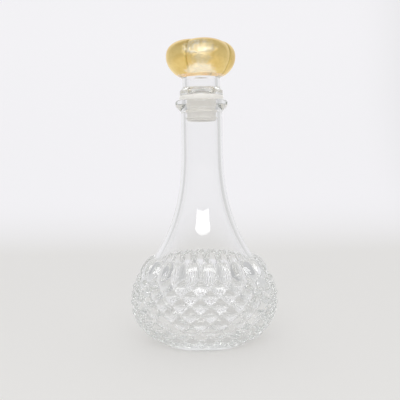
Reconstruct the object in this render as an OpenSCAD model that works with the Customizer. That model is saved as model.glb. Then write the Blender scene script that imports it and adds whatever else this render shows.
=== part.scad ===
// Pressed-glass decanter with a smooth flared neck, a bulb moulded in pointed diamonds
// under a ring of petals, and a hollow gilded stopper that seats in the mouth through a finned plastic seal.
// The origin is the centre of the foot on the table, +Z is up, and lengths are in millimetres.

/* [Bulb] */
// Widest diameter, over the points of the diamonds
bulb_d = 126; // [120:1:134]
// Height of the widest level above the table
bulb_z = 34; // [32:1:38]
// Diameter of the smooth glass where the pattern ends at the shoulder
shoulder_d = 84.4; // [80:0.2:90]
// Height of the pattern's upper border
shoulder_z = 72; // [70:0.5:75]
// Lean of the shoulder away from the vertical at that border, in degrees
shoulder_lean = 33; // [30:1:38]

/* [Diamonds] */
// Diamonds around the bulb
diamond_columns = 24; // [20:2:28]
// Rows of whole diamonds between the foot and the petals
diamond_rows = 9; // [7:1:11]
// Height of the uppermost row of whole diamonds
diamond_top_z = 52.7; // [50:0.1:56]
// Height at which the petals above the diamonds are widest
petal_z = 60.5; // [58:0.1:63]
// How far a diamond's point stands out from its edges at the widest level
diamond_relief = 3.6; // [2.5:0.1:4.5]
// Turn of the pattern about the axis, in degrees
diamond_turn = -93; // [-100:1:-86]
// Ledge at both borders of the moulded pattern
pattern_ledge = 0.3; // [0.2:0.05:0.6]

/* [Foot] */
// Outer diameter of the flat ring that the bottle stands on
foot_d = 74; // [70:1:78]
// Width of that flat ring
foot_ring_w = 5; // [4:0.5:7]
// Diameter of the foot where the pattern's lower border starts
foot_top_d = 84; // [80:1:88]
// Height of that border
foot_h = 5; // [4:0.5:7]
// Depth of the hollow under the foot
punt_h = 3; // [1.5:0.5:4.5]

/* [Neck and lip] */
// Outer diameter of the neck
neck_d = 35; // [34:0.5:37]
// Height at which the neck starts to flare out
neck_foot_z = 165; // [158:1:172]
// Height at which the neck meets the taper under the lip
neck_top_z = 194.5; // [190:0.5:200]
// Outer diameter of the lip
lip_d = 44.2; // [42:0.2:48]
// Height of the taper between the neck and the lip
lip_taper_h = 3.4; // [2.5:0.1:5]
// Height of the lip's rounded band
lip_h = 6; // [5:0.5:8]
// Radius of the lip's rounded edges
lip_round = 2; // [1:0.1:2.4]
// Diameter of the bore in the neck
bore_d = 27.6; // [26.8:0.1:28.6]
// Chamfer at the edge of the mouth
mouth_chamfer = 0.8; // [0.4:0.1:1.2]

/* [Glass thickness] */
// Thickness of the shoulder at the pattern's upper border
shoulder_wall = 4.2; // [3.6:0.1:5]
// Thickness of the bulb between the diamonds
bulb_wall = 6; // [5:0.1:7]
// Thickness of the floor at the centre
floor_t = 7; // [6:0.5:9]

/* [Stopper] */
// Widest diameter of the stopper's glass head
head_d = 58.8; // [54:0.2:62]
// Height of the head above its widest level
head_rise = 15; // [14:0.1:17]
// Height from the top of the stem up to the head's widest level
head_drop = 17.5; // [15:0.5:19]
// Lobes around the head
head_lobes = 4; // [4:2:8]
// Depth of the creases between the lobes
crease_depth = 2.4; // [1.2:0.1:2.8]
// Turn of the creases about the axis, in degrees
crease_turn = 63; // [50:1:76]
// Outer diameter of the stem
stem_d = 32; // [31:0.5:34]
// Length of the stem between the disc and the head
stem_l = 9.3; // [6:0.1:12]
// Diameter of the disc under the stem
disc_d = 36.4; // [35.5:0.1:38]
// Thickness of that disc
disc_h = 5.8; // [4:0.1:7]
// Slope cut on the disc's upper edge
disc_chamfer = 1.6; // [1:0.1:1.7]
// Diameter of the tenon that goes down into the seal
tenon_d = 21.8; // [21:0.1:22.4]
// Length of the tenon below the disc
tenon_l = 20.5; // [18:0.5:22]
// Thickness of the stopper's glass in the head and the stem
stopper_wall = 3.8; // [3.2:0.1:4.4]
// Thickness of the glass in the tenon
tenon_wall = 3.4; // [3:0.1:4]

/* [Gilding] */
// Thickness given to the gold coating, drawn thicker than the real film
gild_t = 0.2; // [0.15:0.05:0.4]
// Height of the gold's lower edge above the top of the stem
gild_edge_h = 1.6; // [0.8:0.1:3]

/* [Seal] */
// Diameter of the seal's flange
flange_d = 37.2; // [36.6:0.1:40]
// Thickness of that flange
flange_h = 4; // [3:0.1:5.5]
// Wall of the sleeve around the tenon
sleeve_wall = 1.25; // [1:0.05:1.4]
// Depth of the sleeve below the lip
sleeve_l = 17; // [16.5:0.5:20]
// Sealing fins around the sleeve
fins = 3; // [2:1:4]
// Thickness of a fin at its tip
fin_tip_t = 0.6; // [0.4:0.1:1]
// Thickness of a fin at its root
fin_root_t = 1.6; // [1.2:0.1:2]
// Height of the lowest fin above the sleeve's end
fin_first_h = 2.2; // [1.8:0.1:3]
// Distance from the lip's top down to the uppermost fin
fin_last_drop = 4; // [3:0.5:5]

/* [Hidden] */

fin_clearance = 0.1;
turn_clearance = 0.05;
gild_clearance = 0.02;
core_inset = 1.2;
cut_over = 1;
sink = 2;

lip_z = neck_top_z + lip_taper_h;
mouth_z = lip_z + lip_h;
flange_top_z = mouth_z + flange_h;
stem_z = flange_top_z + disc_h;
stem_top_z = stem_z + stem_l;
head_z = stem_top_z + head_drop;

// The glass between the diamonds, along which the pattern is laid out
edge_r = bulb_d / 2 - diamond_relief;
neck_r = neck_d / 2;
bore_r = bore_d / 2;
shoulder_r = shoulder_d / 2;
foot_top_r = foot_top_d / 2;
tenon_r = tenon_d / 2;
sleeve_r = tenon_r + turn_clearance + sleeve_wall;

// How strongly each curve keeps to its end directions, as shares of its height or radius
neck_share = 0.475;
lean_share = 0.305;
bulb_lean_share = 0.47;
bulb_share = 0.39;
floor_share = 0.17;
floor_flat_share = 0.4;

neck_pull = neck_share * (neck_foot_z - shoulder_z);
lean_pull = lean_share * (neck_foot_z - shoulder_z);
bulb_lean_pull = bulb_lean_share * (shoulder_z - bulb_z);
bulb_pull = bulb_share * (shoulder_z - bulb_z);
floor_pull = floor_share * foot_top_r;

lean_down = [sin(shoulder_lean), -cos(shoulder_lean)];
shoulder_point = [shoulder_r, shoulder_z];
widest_point = [edge_r, bulb_z];

arc_steps = 14;
curve_steps = 12;
flare_steps = 22;
round_steps = 6;
$fn = 96;

// A point at t on the cubic curve through four control points
function bezier(c, t) =
    pow(1 - t, 3) * c[0] + 3 * t * pow(1 - t, 2) * c[1]
    + 3 * t * t * (1 - t) * c[2] + t * t * t * c[3];
function curve(c, steps) = [for (k = [0:steps]) bezier(c, k / steps)];
function without_first(list) = [for (k = [1:len(list) - 1]) list[k]];
function reversed(list) = [for (k = [len(list) - 1:-1:0]) list[k]];
function turned(r, angle) = [r * cos(angle), r * sin(angle)];

// The bulb below its widest level: part of an ellipse that ends on the foot
belly_angle = acos(foot_top_r / edge_r);
belly_h = (bulb_z - foot_h) / sin(belly_angle);
belly = [
    for (k = [0:arc_steps])
        let (angle = belly_angle * (k / arc_steps - 1))
        [edge_r * cos(angle), bulb_z + belly_h * sin(angle)]
];
upper_bulb = curve(
    [widest_point, widest_point + [0, bulb_pull],
     shoulder_point + bulb_lean_pull * lean_down, shoulder_point],
    curve_steps
);
flare = curve(
    [shoulder_point, shoulder_point - lean_pull * lean_down,
     [neck_r, neck_foot_z - neck_pull], [neck_r, neck_foot_z]],
    flare_steps
);
bulb_line = concat(belly, without_first(upper_bulb));
glass_line = concat(bulb_line, without_first(flare));

// The outward direction at point k of a line that runs upwards
function outward(line, k) =
    let (
        a = line[max(k - 1, 0)],
        b = line[min(k + 1, len(line) - 1)],
        along = (b - a) / norm(b - a)
    )
    [along[1], -along[0]];
function offset_line(line, distance) = [for (k = [0:len(line) - 1]) line[k] + distance * outward(line, k)];

// How far along the line each of its points lies, as the sum of length divided by radius
function spread(line, k = 0, sum = 0) =
    k == len(line) - 1
    ? [sum]
    : concat([sum], spread(line, k + 1, sum + 2 * norm(line[k + 1] - line[k]) / (line[k][0] + line[k + 1][0])));
bulb_spread = spread(bulb_line);
bulb_outward = [for (k = [0:len(bulb_line) - 1]) outward(bulb_line, k)];
function along_bulb(values, place) =
    lookup(place, [for (k = [0:len(bulb_line) - 1]) [bulb_spread[k], values[k]]]);
function place_at(z) =
    lookup(z, [for (k = [0:len(bulb_line) - 1]) [bulb_line[k][1], bulb_spread[k]]]);

// Rows of the pattern's grid: the foot border, the diamonds, the petals' widest level and
// the levels of their round tops, the last of which is the upper border
petal_steps = 4;
petal_power = 2.2;
petal_row = diamond_rows + 1;
row_count = petal_row + petal_steps;
column_count = 2 * diamond_columns;

// Diamonds keep their proportions as the bulb narrows: equal steps of length over radius
function row_place(row) =
    row < petal_row
    ? place_at(diamond_top_z) * row / diamond_rows
    : let (low = place_at(petal_z), high = place_at(shoulder_z))
      low + (high - low) * (row - petal_row) / petal_steps;

// Columns of a row in which the glass stands out: every other one, shifted from row to row
// among the diamonds, while the petals stay in the columns of their widest level
function stands_out(column, row) = (column + min(row, petal_row) + diamond_rows) % 2 == 0;
function relief_share(row) =
    row == 0 ? 0 : rounded(max(row - petal_row, 0) / petal_steps, petal_power, petal_power);
function crossing(column, row) =
    let (
        place = row_place(row),
        r = along_bulb([for (p = bulb_line) p[0]], place),
        z = along_bulb([for (p = bulb_line) p[1]], place),
        out_r = along_bulb([for (n = bulb_outward) n[0]], place),
        out_z = along_bulb([for (n = bulb_outward) n[1]], place),
        relief = stands_out(column, row) ? diamond_relief * relief_share(row) * r / edge_r : 0,
        flat = turned(r + relief * out_r, diamond_turn + column * 360 / column_count)
    )
    [flat[0], flat[1], z + relief * out_z];
function grid_index(column, row) = row * column_count + column % column_count;

// Two triangles of a grid cell. Diamonds are split along the edges between them, and
// petals from each raised point out to the groove, which keeps their tops round.
function cell(column, row) =
    let (
        a = grid_index(column, row),
        b = grid_index(column + 1, row),
        c = grid_index(column + 1, row + 1),
        d = grid_index(column, row + 1),
        split_from_a = stands_out(column, row) == (row >= petal_row)
    )
    split_from_a ? [[a, c, b], [a, d, c]] : [[a, d, b], [b, d, c]];

module diamond_bulb() {
    polyhedron(
        points = [for (row = [0:row_count], column = [0:column_count - 1]) crossing(column, row)],
        faces = concat(
            [[for (column = [0:column_count - 1]) grid_index(column, 0)]],
            [for (row = [0:row_count - 1], column = [0:column_count - 1], face = cell(column, row)) face],
            [[for (column = [column_count - 1:-1:0]) grid_index(column, row_count)]]
        )
    );
}

// Quarter circle from one angle to another, in steps
function round_edge(centre, r, from, to) =
    [for (k = [0:round_steps]) centre + turned(r, from + (to - from) * k / round_steps)];

// Outline of the smooth glass: foot, a core inside the pattern, shoulder, neck and lip
module glass_outline() {
    ring_r = foot_d / 2 - foot_ring_w;
    core = offset_line(bulb_line, -core_inset);
    lip_r = lip_d / 2;
    polygon(concat(
        [for (k = [0:round_steps]) [ring_r * k / round_steps, punt_h * (1 - pow(k / round_steps, 2))]],
        [[foot_d / 2, 0], [foot_top_r - pattern_ledge, foot_h]],
        [[core[1][0], foot_h + core_inset]],
        [for (k = [2:len(core) - 2]) core[k]],
        [[shoulder_r - pattern_ledge - core_inset, shoulder_z - core_inset],
         [shoulder_r - pattern_ledge, shoulder_z]],
        without_first(without_first(flare)),
        [[neck_r, neck_top_z]],
        round_edge([lip_r - lip_round, lip_z + lip_round], lip_round, -60, 0),
        round_edge([lip_r - lip_round, mouth_z - lip_round], lip_round, 0, 90),
        [[0, mouth_z]]
    ));
}

// The wall grows from the neck down to the bulb
function wall_at(z) = lookup(z, [
    [bulb_z, bulb_wall],
    [shoulder_z, shoulder_wall],
    [neck_foot_z, neck_r - bore_r]
]);

module cavity_outline() {
    inner = [for (k = [0:len(glass_line) - 2]) glass_line[k] - wall_at(glass_line[k][1]) * outward(glass_line, k)];
    floor_z = punt_h + floor_t;
    start = inner[0];
    slope = outward(glass_line, 0);
    floor_curve = curve(
        [[0, floor_z], [start[0] * floor_flat_share, floor_z], start + floor_pull * [slope[1], -slope[0]], start],
        curve_steps
    );
    polygon(concat(
        floor_curve,
        without_first(inner),
        [[bore_r, neck_foot_z], [bore_r, mouth_z - mouth_chamfer],
         [bore_r + mouth_chamfer + cut_over, mouth_z + cut_over], [0, mouth_z + cut_over]]
    ));
}

module bottle() {
    color("lightcyan", 0.5)
    difference() {
        union() {
            rotate_extrude() glass_outline();
            diamond_bulb();
        }
        rotate_extrude() cavity_outline();
    }
}

// The head: a flattened ball whose cross-section is a ring of arcs that meet in creases
head_r = head_d / 2;
stem_r = stem_d / 2;
head_join_r = stem_r + pattern_ledge;
rise_power = 2.2;
rise_root = 3.2;
drop_power = 2.05;
lobe_steps = 12;
head_columns = head_lobes * lobe_steps;
rise_rows = 7;
drop_rows = 6;
head_rows = rise_rows + drop_rows;

// Half of a flattened ball: its radius at height x, both as shares. A larger root makes
// its top flatter.
function rounded(x, power, root) = pow(max(1 - pow(x, power), 0), 1 / root);
// Lower end of the head, where it has narrowed to the stem
join_share = rounded(head_join_r / head_r, drop_power, drop_power);
drop_h = head_drop / join_share;

// Lower edge of the gold, as a share of the head's lower half
gild_share = (head_drop - gild_edge_h) / drop_h;

// Radius and height of the head at a row, grown outwards for the gilding. Row 0 joins the
// stem, and row 1 is the gold's lower edge.
function head_share(row) =
    row == 0
    ? -join_share
    : row < drop_rows
        ? -gild_share * sin(90 * (drop_rows - row) / (drop_rows - 1))
        : sin(90 * (row - drop_rows) / rise_rows);
function head_level(row, grow) =
    let (share = head_share(row))
    share < 0
    ? [(head_r + grow) * rounded(-share, drop_power, drop_power), head_z + (drop_h + grow) * share]
    : [(head_r + grow) * rounded(share, rise_power, rise_root), head_z + (head_rise + grow) * share];

// Radius of the lobed cross-section compared with the full circle, where depth is the
// crease's share of the radius: arcs centred off the axis
function lobed(angle, depth) =
    let (
        half = 180 / head_lobes,
        inner = 1 - depth,
        shift = (1 - inner * inner) / (2 * (1 - inner * cos(half))),
        turn = (angle % (2 * half)) - half
    )
    shift * cos(turn) + sqrt(pow(1 - shift, 2) - pow(shift * sin(turn), 2));

// Creases run out towards the stem, and cut into the top less deeply than into the side
full_crease = crease_depth / head_r;
top_crease_share = 0.5;
function top_height(lobe) = 1 - top_crease_share * (1 - lobe);
function crease_share(row) = full_crease * min(1, row / (drop_rows - 1));
function head_ring(row, grow) =
    let (level = head_level(row, grow))
    [
        for (column = [0:head_columns - 1])
            let (
                angle = 360 * column / head_columns,
                lobe = lobed(angle, crease_share(row)),
                flat = turned(level[0] * lobe, angle + crease_turn)
            )
            [flat[0], flat[1], head_z + (level[1] - head_z) * (level[1] > head_z ? top_height(lobe) : 1)]
    ];
// The rings of the head from a row upwards, and the dimple where the creases meet
function head_points(grow, first) = concat(
    [for (row = [first:head_rows - 1], p = head_ring(row, grow)) p],
    [[0, 0, head_z + (head_rise + grow) * top_height(1 - full_crease)]]
);
// Faces between those rings, numbered from the point start
function head_faces(start, first, outside) = [
    for (ring = [0:head_rows - first - 1], column = [0:head_columns - 1])
        let (
            last = ring == head_rows - first - 1,
            next = (column + 1) % head_columns,
            a = start + ring * head_columns + column,
            b = start + ring * head_columns + next,
            c = start + (ring + 1) * head_columns + next,
            d = start + (ring + 1) * head_columns + (last ? 0 : column),
            pair = last ? [[a, d, b]] : [[a, d, b], [b, d, c]]
        )
        for (face = pair) outside ? face : reversed(face)
];

module head_solid() {
    polyhedron(
        points = head_points(0, 0),
        faces = concat([[for (column = [0:head_columns - 1]) column]], head_faces(0, 0, true))
    );
}

// Disc, stem and tenon, with the stem running up into the head
module shank_outline() {
    disc_r = disc_d / 2;
    tenon_end_z = flange_top_z - tenon_l;
    polygon([
        [0, tenon_end_z],
        [tenon_r - mouth_chamfer, tenon_end_z],
        [tenon_r, tenon_end_z + mouth_chamfer],
        [tenon_r, flange_top_z],
        [disc_r, flange_top_z],
        [disc_r, stem_z - disc_chamfer],
        [disc_r - disc_chamfer, stem_z],
        [stem_r, stem_z],
        [stem_r, stem_top_z + sink],
        [0, stem_top_z + sink]
    ]);
}

// The hollow: a tube up the tenon that opens into the stem and the head
module stopper_hollow_outline() {
    hollow_r = head_r - stopper_wall - crease_depth / 2;
    hollow_rise = head_rise - stopper_wall;
    hollow_drop = head_drop - stopper_wall;
    stem_hollow_r = stem_r - stopper_wall;
    tenon_hollow_r = tenon_r - tenon_wall;
    polygon(concat(
        [[0, flange_top_z - tenon_l - cut_over],
         [tenon_hollow_r, flange_top_z - tenon_l - cut_over],
         [tenon_hollow_r, flange_top_z]],
        curve(
            [[tenon_hollow_r, flange_top_z], [tenon_hollow_r, stem_z - disc_chamfer],
             [stem_hollow_r, stem_z - disc_chamfer], [stem_hollow_r, stem_z + disc_chamfer]],
            round_steps
        ),
        curve(
            [[stem_hollow_r, stem_top_z - disc_chamfer], [stem_hollow_r, stem_top_z + stopper_wall],
             [hollow_r, head_z - hollow_drop / 2], [hollow_r, head_z]],
            curve_steps
        ),
        [for (k = [1:curve_steps])
            let (angle = 90 * k / curve_steps)
            [hollow_r * cos(angle), head_z + hollow_rise * sin(angle)]]
    ));
}

module stopper_glass() {
    color("lightcyan", 0.5)
    difference() {
        union() {
            rotate_extrude() shank_outline();
            head_solid();
        }
        rotate_extrude() stopper_hollow_outline();
    }
}

module gold_coating() {
    inner_start = (head_rows - 1) * head_columns + 1;
    color("gold")
    polyhedron(
        points = concat(
            head_points(gild_clearance + gild_t, 1),
            head_points(gild_clearance, 1)
        ),
        faces = concat(
            head_faces(0, 1, true),
            head_faces(inner_start, 1, false),
            [for (column = [0:head_columns - 1])
                let (next = (column + 1) % head_columns)
                for (face = [[column, next, inner_start + column],
                             [next, inner_start + next, inner_start + column]]) face]
        )
    );
}

// Outline of the seal: flange on the lip, sleeve around the tenon, fins against the bore
module seal_outline() {
    hole_r = tenon_r + turn_clearance;
    end_z = mouth_z - sleeve_l;
    fin_r = bore_r - fin_clearance;
    fin_pitch = (sleeve_l - fin_first_h - fin_last_drop) / (fins - 1);
    edge = mouth_chamfer / 2;
    polygon(concat(
        [[hole_r, end_z], [sleeve_r - edge, end_z], [sleeve_r, end_z + edge]],
        [for (k = [0:fins - 1])
            let (z = end_z + fin_first_h + k * fin_pitch)
            for (p = [[sleeve_r, z - fin_root_t / 2], [fin_r, z - fin_tip_t / 2],
                      [fin_r, z + fin_tip_t / 2], [sleeve_r, z + fin_root_t / 2]]) p],
        [[sleeve_r, mouth_z], [flange_d / 2 - edge, mouth_z], [flange_d / 2, mouth_z + edge],
         [flange_d / 2, flange_top_z - edge], [flange_d / 2 - edge, flange_top_z],
         [hole_r, flange_top_z]]
    ));
}

module stopper_seal() {
    color("whitesmoke", 0.8)
    rotate_extrude() seal_outline();
}

bottle();
stopper_glass();
gold_coating();
stopper_seal();
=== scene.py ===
"""Studio scene for a pressed-glass decanter with a gilded stopper.

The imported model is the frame. Each of its pieces is replaced by a finer mesh of the same
size, modelled here in metres with +Z up, and dressed with its own procedural finish.
"""

import logging
import math
from bisect import bisect_right
from dataclasses import dataclass, field
from enum import Enum
from typing import Callable, Iterable, Mapping, Optional, Sequence, Union

import bmesh
import bpy
from mathutils import Matrix, Vector

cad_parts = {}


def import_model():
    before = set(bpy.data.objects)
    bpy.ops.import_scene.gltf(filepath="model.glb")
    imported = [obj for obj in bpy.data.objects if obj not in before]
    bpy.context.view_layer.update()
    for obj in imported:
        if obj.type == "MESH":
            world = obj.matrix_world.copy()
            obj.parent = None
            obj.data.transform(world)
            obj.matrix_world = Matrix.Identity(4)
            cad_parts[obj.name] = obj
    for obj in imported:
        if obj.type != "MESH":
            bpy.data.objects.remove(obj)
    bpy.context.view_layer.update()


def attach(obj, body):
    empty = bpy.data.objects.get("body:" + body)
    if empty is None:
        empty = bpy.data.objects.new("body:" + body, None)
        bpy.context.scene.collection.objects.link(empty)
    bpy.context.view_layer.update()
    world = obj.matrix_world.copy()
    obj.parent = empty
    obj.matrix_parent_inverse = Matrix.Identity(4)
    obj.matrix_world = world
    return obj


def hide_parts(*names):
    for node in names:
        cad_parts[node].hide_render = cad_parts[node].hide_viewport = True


LOG = logging.getLogger("decanter")

MM = 0.001
FULL_TURN = 2 * math.pi
WELD = 1e-6

Point = tuple[float, float]
Line = list[Point]
Colour = tuple[float, float, float, float]


class Body(Enum):
    """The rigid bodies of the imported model."""

    BOTTLE = "bottle"
    SEAL = "seal"
    STOPPER = "stopper"


class Node(Enum):
    """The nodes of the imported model."""

    BOTTLE = "bottle"
    STOPPER_GLASS = "stopper_glass"
    GOLD_COATING = "gold_coating"
    STOPPER_SEAL = "stopper_seal"


class Slot(Enum):
    """The record's material slots."""

    CLEAR_GLASS = "clear_glass"
    GOLD = "gold"
    SEAL_PLASTIC = "seal_plastic"


class Wall(Enum):
    """Which side of the glass an outline runs along."""

    OUTER = 1
    INNER = -1


# Outlines


def turned(radius: float, angle: float) -> Point:
    """Point at a distance from the origin, with the angle in radians."""
    return (radius * math.cos(angle), radius * math.sin(angle))


def mix(a: float, b: float, share: float) -> float:
    """Value between a and b."""
    return a + (b - a) * share


def bezier(a: Point, b: Point, c: Point, d: Point, steps: int) -> Line:
    """Cubic curve through its two end points.

    Args:
        a: Start.
        b: First pulling point.
        c: Second pulling point.
        d: End.
        steps: Number of stretches.

    Returns:
        The points of the curve, both ends included.
    """
    line = []
    for k in range(steps + 1):
        t = k / steps
        weights = ((1 - t) ** 3, 3 * t * (1 - t) ** 2, 3 * t * t * (1 - t), t**3)
        x = sum(w * p[0] for w, p in zip(weights, (a, b, c, d)))
        y = sum(w * p[1] for w, p in zip(weights, (a, b, c, d)))
        line.append((x, y))
    return line


def arc(centre: Point, radius: float, start: float, end: float, steps: int) -> Line:
    """Points along an arc, with its angles in degrees.

    Args:
        centre: Centre of the arc.
        radius: Its radius.
        start: Angle of the first point.
        end: Angle of the last point.
        steps: Number of stretches.

    Returns:
        The points of the arc, both ends included.
    """
    line = []
    for k in range(steps + 1):
        x, y = turned(radius, math.radians(mix(start, end, k / steps)))
        line.append((centre[0] + x, centre[1] + y))
    return line


def filleted(corners: Sequence[tuple[float, float, float]], steps: int = 4) -> Line:
    """Polygon line whose corners are rounded.

    Args:
        corners: Radius, height and rounding of each corner. An end, or a corner with no
            rounding, stays as it is.
        steps: Stretches in each rounding.

    Returns:
        The points of the rounded line.
    """
    line = []
    for k, (x, y, rounding) in enumerate(corners):
        if rounding <= 0 or k in (0, len(corners) - 1):
            line.append((x, y))
            continue
        here = Vector((x, y))
        before = Vector(corners[k - 1][:2]) - here
        after = Vector(corners[k + 1][:2]) - here
        half = before.angle(after) / 2
        back = min(rounding / math.tan(half), 0.49 * before.length, 0.49 * after.length)
        start = here + before.normalized() * back
        end = here + after.normalized() * back
        for step in range(steps + 1):
            t = step / steps
            blend = (1 - t) ** 2 * start + 2 * t * (1 - t) * here + t * t * end
            line.append((blend.x, blend.y))
    return line


def outward(line: Line, k: int) -> Point:
    """Direction square to point k of a line that runs upwards, away from the axis."""
    a = line[max(k - 1, 0)]
    b = line[min(k + 1, len(line) - 1)]
    length = math.hypot(b[0] - a[0], b[1] - a[1])
    return ((b[1] - a[1]) / length, (a[0] - b[0]) / length)


def rounded(x: float, power: float, root: float) -> float:
    """Radius of a flattened ball at height x, both as shares; a large root flattens its top."""
    return max(1 - x**power, 0) ** (1 / root)


def lookup(place: float, keys: Sequence[float], values: Sequence[float]) -> float:
    """Value at a place between rising keys."""
    k = min(max(bisect_right(keys, place), 1), len(keys) - 1)
    return mix(values[k - 1], values[k], (place - keys[k - 1]) / (keys[k] - keys[k - 1]))


# Modelling


class Bench:
    """Modelling steps in edit mode, each on what it selects itself."""

    @staticmethod
    def clear() -> None:
        """Leaves edit mode and deselects everything."""
        if bpy.context.mode != "OBJECT":
            bpy.ops.object.mode_set(mode="OBJECT")
        bpy.ops.object.select_all(action="DESELECT")

    @staticmethod
    def open(piece: bpy.types.Object) -> None:
        """Opens one piece in edit mode, with all of it selected."""
        Bench.clear()
        piece.select_set(True)
        bpy.context.view_layer.objects.active = piece
        bpy.ops.object.mode_set(mode="EDIT")
        bpy.ops.mesh.select_mode(type="VERT")
        bpy.ops.mesh.select_all(action="SELECT")

    @staticmethod
    def pick(test: Callable[[Vector], bool]) -> int:
        """Selects the open piece's vertices by their place.

        Args:
            test: Says whether a vertex at that place is selected.

        Returns:
            How many vertices are selected.
        """
        bpy.ops.mesh.select_all(action="DESELECT")
        mesh = bmesh.from_edit_mesh(bpy.context.edit_object.data)
        found = 0
        for vertex in mesh.verts:
            chosen = test(vertex.co)
            vertex.select_set(chosen)
            found += chosen
        mesh.select_flush(True)
        bmesh.update_edit_mesh(bpy.context.edit_object.data)
        return found

    @staticmethod
    def trace(name: str, line: Line, azimuth: float) -> bpy.types.Object:
        """Draws an outline as a chain of edges in the plane through the axis at an azimuth.

        Args:
            name: Name of the new piece.
            line: Radius and height of each point.
            azimuth: Turn of the plane about the axis, in radians.

        Returns:
            The new piece, closed.
        """
        Bench.clear()
        places = [Vector((*turned(r, azimuth), z)) for r, z in line]
        bpy.ops.mesh.primitive_plane_add(size=MM, location=places[0])
        piece = bpy.context.active_object
        piece.name = name
        bpy.ops.object.transform_apply(location=True, rotation=True, scale=True)
        Bench.open(piece)
        bpy.ops.mesh.merge(type="CENTER")
        for here, there in zip(places, places[1:]):
            bpy.ops.mesh.extrude_region_move(TRANSFORM_OT_translate={"value": there - here})
        Bench.clear()
        return piece

    @staticmethod
    def revolve(name: str, line: Line, azimuth: float, steps: int) -> bpy.types.Object:
        """Spins an outline about the axis.

        Args:
            name: Name of the new piece.
            line: Radius and height of each point.
            azimuth: Where the first column lies, in radians.
            steps: Number of columns.

        Returns:
            The new piece, open at each end that isn't on the axis.
        """
        piece = Bench.trace(name, line, azimuth)
        Bench.open(piece)
        bpy.ops.mesh.spin(steps=steps, angle=FULL_TURN, center=(0, 0, 0), axis=(0, 0, 1))
        bpy.ops.mesh.select_all(action="SELECT")
        bpy.ops.mesh.remove_doubles(threshold=WELD)
        Bench.clear()
        return piece

    @staticmethod
    def join(name: str, pieces: Iterable[bpy.types.Object]) -> bpy.types.Object:
        """Joins pieces whose rims meet into one closed piece with its faces outwards.

        Args:
            name: Name of the joined piece.
            pieces: The pieces, each placed.

        Returns:
            The joined piece.
        """
        Bench.clear()
        several = list(pieces)
        for piece in several:
            piece.select_set(True)
        bpy.context.view_layer.objects.active = several[0]
        if len(several) > 1:
            bpy.ops.object.join()
        piece = bpy.context.active_object
        piece.name = name
        piece.data.name = name
        Bench.open(piece)
        bpy.ops.mesh.remove_doubles(threshold=WELD)
        bpy.ops.mesh.normals_make_consistent(inside=False)
        Bench.clear()
        return piece

    @staticmethod
    def smooth(piece: bpy.types.Object, degrees: float) -> None:
        """Shades a piece smooth, but for the edges that bend by more than an angle."""
        Bench.clear()
        piece.select_set(True)
        bpy.context.view_layer.objects.active = piece
        bpy.ops.object.shade_smooth_by_angle(angle=math.radians(degrees))
        Bench.clear()

    @staticmethod
    def describe(piece: bpy.types.Object) -> str:
        """Triangles, volume and open edges of a piece in words, for the log."""
        mesh = bmesh.new()
        mesh.from_mesh(piece.data)
        triangles = sum(len(face.verts) - 2 for face in mesh.faces)
        loose = sum(not edge.is_manifold for edge in mesh.edges)
        volume = mesh.calc_volume(signed=True)
        mesh.free()
        return f"{triangles} triangles, {volume * 1e6:.2f} cm3, {loose} open edges"


# Shader maths

Feed = Union["Value", bpy.types.NodeSocket, float, int, Sequence[float], str]


class Value:
    """A shader socket whose arithmetic adds Math nodes."""

    def __init__(self, graph: "Graph", socket: bpy.types.NodeSocket) -> None:
        """Wraps a socket of a graph."""
        self.graph = graph
        self.socket = socket

    def __add__(self, other: Feed) -> "Value":
        """Sum."""
        return self.graph.maths("ADD", self, other)

    def __radd__(self, other: Feed) -> "Value":
        """Sum, with the value on the right."""
        return self.graph.maths("ADD", other, self)

    def __sub__(self, other: Feed) -> "Value":
        """Difference."""
        return self.graph.maths("SUBTRACT", self, other)

    def __rsub__(self, other: Feed) -> "Value":
        """Difference, with the value on the right."""
        return self.graph.maths("SUBTRACT", other, self)

    def __mul__(self, other: Feed) -> "Value":
        """Product."""
        return self.graph.maths("MULTIPLY", self, other)

    def __rmul__(self, other: Feed) -> "Value":
        """Product, with the value on the right."""
        return self.graph.maths("MULTIPLY", other, self)

    def __truediv__(self, other: Feed) -> "Value":
        """Quotient."""
        return self.graph.maths("DIVIDE", self, other)

    def __rtruediv__(self, other: Feed) -> "Value":
        """Quotient, with the value on the right."""
        return self.graph.maths("DIVIDE", other, self)

    def __pow__(self, other: Feed) -> "Value":
        """Power."""
        return self.graph.maths("POWER", self, other)

    def clamped(self) -> "Value":
        """The value held between 0 and 1."""
        return self.graph.maths("ADD", self, 0.0, clamp=True)

    def step(self, low: float, high: float) -> "Value":
        """0 below low, 1 above high and smooth between them, or falling if high is less."""
        settings = {"interpolation_type": "SMOOTHSTEP"}
        feeds = {"Value": self, "From Min": low, "From Max": high}
        return self.graph.add("ShaderNodeMapRange", settings, feeds)


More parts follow.
